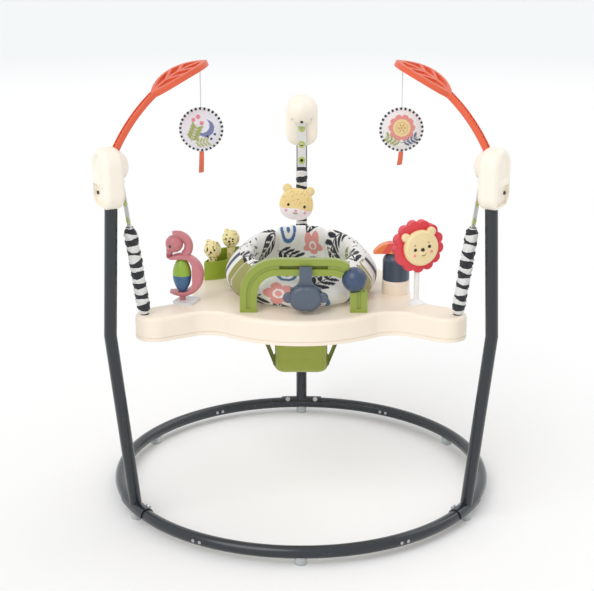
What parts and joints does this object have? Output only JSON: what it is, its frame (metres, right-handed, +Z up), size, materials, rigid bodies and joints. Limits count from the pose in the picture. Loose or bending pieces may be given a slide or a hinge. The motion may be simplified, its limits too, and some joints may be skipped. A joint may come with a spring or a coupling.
{
  "type": "baby jumper frame",
  "caption": "Free-standing baby jumper: floor ring and legs with corner hubs, sleeved springs, a lobed toy tray, a turning fabric seat and hanging toys on leaf arms.",
  "frame": {"origin": "on the floor, in the middle of the overall box", "axes": "+Z up, the front of the jumper faces -Y, +X to the right seen from the front"},
  "size_m": [0.81, 0.851, 0.9309],
  "materials": {
    "tube": "semi-gloss powder coat",
    "steel": "zinc plated",
    "pad": "clear grey",
    "ivory": "satin",
    "screw": "black",
    "webbing": "woven",
    "eyelet": "gloss",
    "dark_plastic": "matt",
    "spring": "drawn wire",
    "sleeve": "gathered, black and white bands",
    "coral": "satin",
    "cord": "twisted",
    "disc_cloth": "printed",
    "ribbon": "satin ribbon",
    "plush": "short pile",
    "tray": "satin",
    "lime": "satin",
    "slate": "satin",
    "navy": "gloss",
    "white": "satin",
    "pink": "satin",
    "green": "satin",
    "blue": "satin",
    "red": "satin",
    "cream": "satin",
    "orange": "satin",
    "collar": "printed, stuffed",
    "olive": "woven"
  },
  "bodies": {
    "frame": {"base_arc_front": "tube", "base_arc_rear": "tube", "base_arc_left": "tube", "base_arc_right": "tube", "snap_pins": "steel", "leg_left": "tube", "leg_right": "tube", "leg_rear": "tube", "leg_bolts": "steel", "foot_pads": "pad", "foot_screws": "steel", "hub_inner_left": "ivory", "hub_inner_right": "ivory", "hub_inner_rear": "ivory", "hub_outer_left": "ivory", "hub_outer_right": "ivory", "hub_outer_rear": "ivory", "hub_screws": "screw", "strap_pegs": "steel", "height_strap_left": "webbing", "height_strap_right": "webbing", "height_strap_rear": "webbing", "strap_eyelets": "eyelet", "strap_anchors": "dark_plastic", "spring_left": "spring", "spring_right": "spring", "spring_rear": "spring", "spring_sleeve_left": "sleeve", "spring_sleeve_right": "sleeve", "spring_sleeve_rear": "sleeve", "leaf_arm_left": "coral", "leaf_arm_right": "coral", "plush_head": "plush"},
    "tray": {"tray_shell": "tray", "toy_arch": "lime", "flamingo_base": "white", "flamingo_body": "pink", "roller_pin": "steel", "lion_post": "white", "toucan_body": "slate", "toucan_beak": "orange", "leaf_cup": "lime", "leaf_cubs": "cream", "spring_anchors": "dark_plastic"},
    "seat": {"seat_ring": "ivory", "seat_retainer": "ivory", "seat_pad": "collar", "seat_bag": "olive"},
    "lion_head": {"lion_mane": "red", "lion_face": "cream"},
    "egg_roller": {"roller_cap": "green", "roller_cup": "blue"},
    "bead": {"arch_bead": "navy"},
    "slider": {"arch_slider": "slate"},
    "toy_left": {"toy_cord_left": "cord", "hanging_disc_left": "disc_cloth", "disc_ribbon_left": "ribbon"},
    "toy_right": {"toy_cord_right": "cord", "hanging_disc_right": "disc_cloth", "disc_ribbon_right": "ribbon"}
  },
  "joints": [
    {"name": "tray_bounce", "type": "slide", "parent": "frame", "child": "tray", "axis": [0, 0, 1], "range_m": [-0.12, 0.03], "stiffness_N_per_m": 900, "springref_m": 0.0345, "deforming": ["spring_left", "spring_right", "spring_rear", "spring_sleeve_left", "spring_sleeve_right", "spring_sleeve_rear"]},
    {"name": "seat_spin", "type": "hinge", "parent": "tray", "child": "seat", "pos_m": [0, -0.02015, 0.438], "axis": [0, 0, 1], "continuous": true},
    {"name": "lion_swivel", "type": "hinge", "parent": "tray", "child": "lion_head", "pos_m": [0.234, -0.12615, 0.559], "axis": [0, 0, 1], "continuous": true},
    {"name": "roller_spin", "type": "hinge", "parent": "tray", "child": "egg_roller", "pos_m": [-0.242, -0.11815, 0.496], "axis": [0, 0, 1], "continuous": true},
    {"name": "bead_spin", "type": "hinge", "parent": "tray", "child": "bead", "pos_m": [0.1058, -0.18215, 0.50504], "axis": [-0.5446, 0, 0.8387], "continuous": true},
    {"name": "slider_slide", "type": "slide", "parent": "tray", "child": "slider", "axis": [1, 0, 0], "range_m": [-0.03, 0.024]},
    {"name": "toy_swing_left", "type": "hinge", "parent": "frame", "child": "toy_left", "pos_m": [-0.19578, -0.13318, 0.91419], "axis": [1, 0, 0], "range_deg": [-30, 30]},
    {"name": "toy_swing_right", "type": "hinge", "parent": "frame", "child": "toy_right", "pos_m": [0.19578, -0.13318, 0.91419], "axis": [1, 0, 0], "range_deg": [-30, 30]}
  ]
}
